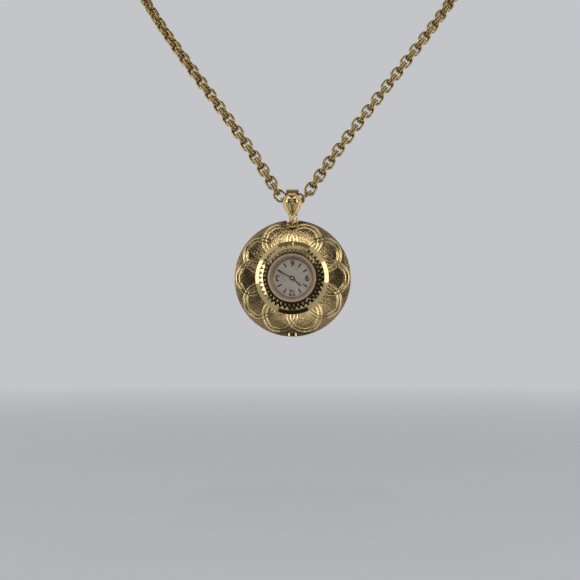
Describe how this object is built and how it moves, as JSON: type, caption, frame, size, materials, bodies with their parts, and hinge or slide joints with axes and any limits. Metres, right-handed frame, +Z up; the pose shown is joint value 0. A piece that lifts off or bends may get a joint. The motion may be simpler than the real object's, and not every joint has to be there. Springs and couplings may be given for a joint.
{
  "type": "pendant watch",
  "caption": "Round gold-tone pendant watch with interlaced rings in relief round a faceted bezel, on a teardrop bail and a double-link neck chain.",
  "frame": {"origin": "inner side of the chain at the middle of the nape, where the necklace bears on the neck", "axes": "+Z up, the dial faces -Y, +X is to the viewer's right"},
  "size_m": [0.1178, 0.1291, 0.1608],
  "materials": {
    "gold": "polished gold plate",
    "crystal": "polished",
    "dial": "satin silvered",
    "black_marks": "satin black",
    "nickel": "satin nickel plate",
    "steel": "polished",
    "wheel_brass": "circular grained",
    "ruby": "polished synthetic ruby"
  },
  "bodies": {
    "chain": {"chain_front_left": "gold", "chain_front_right": "gold", "chain_back_left": "gold", "chain_back_right": "gold", "clasp_body": "gold", "clasp_spring": "steel", "end_ring": "gold"},
    "gate": {"clasp_gate": "gold"},
    "bail": {"bail_loop": "gold", "bail_drop": "gold", "bail_dome": "gold"},
    "jump_ring": {"jump_ring": "gold"},
    "case": {"case_front": "gold", "case_back": "gold", "case_tube": "steel", "bezel_ring": "gold", "crystal": "crystal", "dial_ring": "nickel", "movement_holder": "nickel", "dial": "dial", "dial_marks": "black_marks", "hanger_eye": "gold", "main_plate": "nickel", "barrel_bridge": "nickel", "train_bridge": "nickel", "balance_cock": "nickel", "bridge_screws": "steel", "jewels": "ruby", "hairspring": "steel", "crown_wheel_stud": "steel", "crown_wheel_screw": "steel"},
    "minute": {"minute_hand": "black_marks", "cannon_pinion": "steel", "centre_wheel": "wheel_brass"},
    "hour": {"hour_hand": "black_marks", "hour_wheel": "wheel_brass"},
    "minute_wheel": {"minute_wheel": "wheel_brass"},
    "setting_wheel": {"setting_wheel": "steel"},
    "third": {"third_wheel": "wheel_brass"},
    "fourth": {"fourth_wheel": "wheel_brass"},
    "escape": {"escape_wheel": "steel"},
    "barrel": {"barrel": "wheel_brass", "mainspring": "steel"},
    "pallet": {"pallet_fork": "steel"},
    "balance": {"balance_wheel": "wheel_brass"},
    "winding": {"winding_pinion": "steel"},
    "crown": {"crown": "gold", "winding_stem": "steel"},
    "clutch": {"sliding_pinion": "steel"},
    "setting_lever": {"setting_lever": "steel"},
    "yoke": {"yoke": "steel"},
    "crown_wheel": {"crown_wheel": "steel"},
    "ratchet": {"ratchet_wheel": "steel", "barrel_arbor": "steel"},
    "click": {"click": "steel"}
  },
  "joints": [
    {"name": "bail_swing", "type": "hinge", "parent": "chain", "child": "bail", "pos_m": [0, -0.1204, -0.119], "axis": [1, 0, 0], "range_deg": [-60, 60]},
    {"name": "ring_swing", "type": "hinge", "parent": "bail", "child": "jump_ring", "pos_m": [0, -0.1204, -0.1224], "axis": [1, 0, 0], "range_deg": [-12, 12]},
    {"name": "case_swing", "type": "hinge", "parent": "jump_ring", "child": "case", "pos_m": [0, -0.1204, -0.12573], "axis": [1, 0, 0], "range_deg": [-12, 15]},
    {"name": "minute_turn", "type": "hinge", "parent": "case", "child": "minute", "pos_m": [0, -0.1204, -0.1411], "axis": [0, -1, 0], "continuous": true},
    {"name": "hour_turn", "type": "hinge", "parent": "case", "child": "hour", "pos_m": [0, -0.1204, -0.1411], "axis": [0, -1, 0], "continuous": true},
    {"name": "minute_wheel_turn", "type": "hinge", "parent": "case", "child": "minute_wheel", "pos_m": [0.0008, -0.1204, -0.14249], "axis": [0, -1, 0], "continuous": true},
    {"name": "setting_wheel_turn", "type": "hinge", "parent": "case", "child": "setting_wheel", "pos_m": [0.00099, -0.1204, -0.14428], "axis": [0, -1, 0], "continuous": true},
    {"name": "third_turn", "type": "hinge", "parent": "case", "child": "third", "pos_m": [0.00126, -0.1204, -0.13892], "axis": [0, -1, 0], "continuous": true},
    {"name": "fourth_turn", "type": "hinge", "parent": "case", "child": "fourth", "pos_m": [0.00324, -0.1204, -0.13964], "axis": [0, -1, 0], "continuous": true},
    {"name": "escape_turn", "type": "hinge", "parent": "case", "child": "escape", "pos_m": [0.00308, -0.1204, -0.14145], "axis": [0, -1, 0], "continuous": true},
    {"name": "barrel_turn", "type": "hinge", "parent": "case", "child": "barrel", "pos_m": [-0.00315, -0.1204, -0.1416], "axis": [0, -1, 0], "continuous": true},
    {"name": "pallet_rock", "type": "hinge", "parent": "case", "child": "pallet", "pos_m": [0.0032, -0.1204, -0.1426], "axis": [0, -1, 0], "range_deg": [-5, 5]},
    {"name": "balance_swing", "type": "hinge", "parent": "case", "child": "balance", "pos_m": [0.0034, -0.1204, -0.144], "axis": [0, -1, 0], "range_deg": [-270, 270], "stiffness_Nm_per_rad": 0.0000000024},
    {"name": "winding_turn", "type": "hinge", "parent": "case", "child": "winding", "pos_m": [0, -0.1204, -0.1411], "axis": [0, 0, 1], "continuous": true},
    {"name": "crown_pull", "type": "slide", "parent": "winding", "child": "crown", "axis": [0, 0, -1], "range_m": [0, 0.0008]},
    {"name": "clutch_slide", "type": "slide", "parent": "winding", "child": "clutch", "axis": [0, 0, 1], "range_m": [0, 0.0004]},
    {"name": "setting_lever_turn", "type": "hinge", "parent": "case", "child": "setting_lever", "pos_m": [-0.0019, -0.1204, -0.1462], "axis": [0, -1, 0], "range_deg": [-29, 0]},
    {"name": "yoke_turn", "type": "hinge", "parent": "case", "child": "yoke", "pos_m": [-0.0026, -0.1204, -0.144], "axis": [0, -1, 0], "range_deg": [0, 10]},
    {"name": "crown_wheel_turn", "type": "hinge", "parent": "case", "child": "crown_wheel", "pos_m": [0, -0.1204, -0.145], "axis": [0, -1, 0], "continuous": true},
    {"name": "ratchet_turn", "type": "hinge", "parent": "case", "child": "ratchet", "pos_m": [-0.00315, -0.1204, -0.1416], "axis": [0, -1, 0], "continuous": true},
    {"name": "click_lift", "type": "hinge", "parent": "case", "child": "click", "pos_m": [-0.0053, -0.1204, -0.14385], "axis": [0, -1, 0], "range_deg": [0, 15], "stiffness_Nm_per_rad": 0.000002},
    {"name": "gate_slide", "type": "hinge", "parent": "chain", "child": "gate", "pos_m": [0, 0.0016, 0], "axis": [0, 1, 0], "range_deg": [0, 40], "stiffness_Nm_per_rad": 0.0001}
  ],
  "couplings": [
    {"joint": "hour_turn", "follows": "minute_turn", "ratio": 0.083333},
    {"joint": "minute_wheel_turn", "follows": "minute_turn", "ratio": -0.33333},
    {"joint": "setting_wheel_turn", "follows": "minute_turn", "ratio": 0.66667},
    {"joint": "third_turn", "follows": "minute_turn", "ratio": -8},
    {"joint": "fourth_turn", "follows": "minute_turn", "ratio": 60},
    {"joint": "escape_turn", "follows": "minute_turn", "ratio": -600},
    {"joint": "barrel_turn", "follows": "minute_turn", "ratio": -0.125},
    {"joint": "clutch_slide", "follows": "crown_pull", "ratio": 0.5},
    {"joint": "setting_lever_turn", "follows": "crown_pull", "rad_per_m": -625},
    {"joint": "yoke_turn", "follows": "crown_pull", "rad_per_m": 212.75},
    {"joint": "crown_wheel_turn", "follows": "winding_turn", "ratio": 0.77778},
    {"joint": "ratchet_turn", "follows": "winding_turn", "ratio": -0.64815}
  ]
}
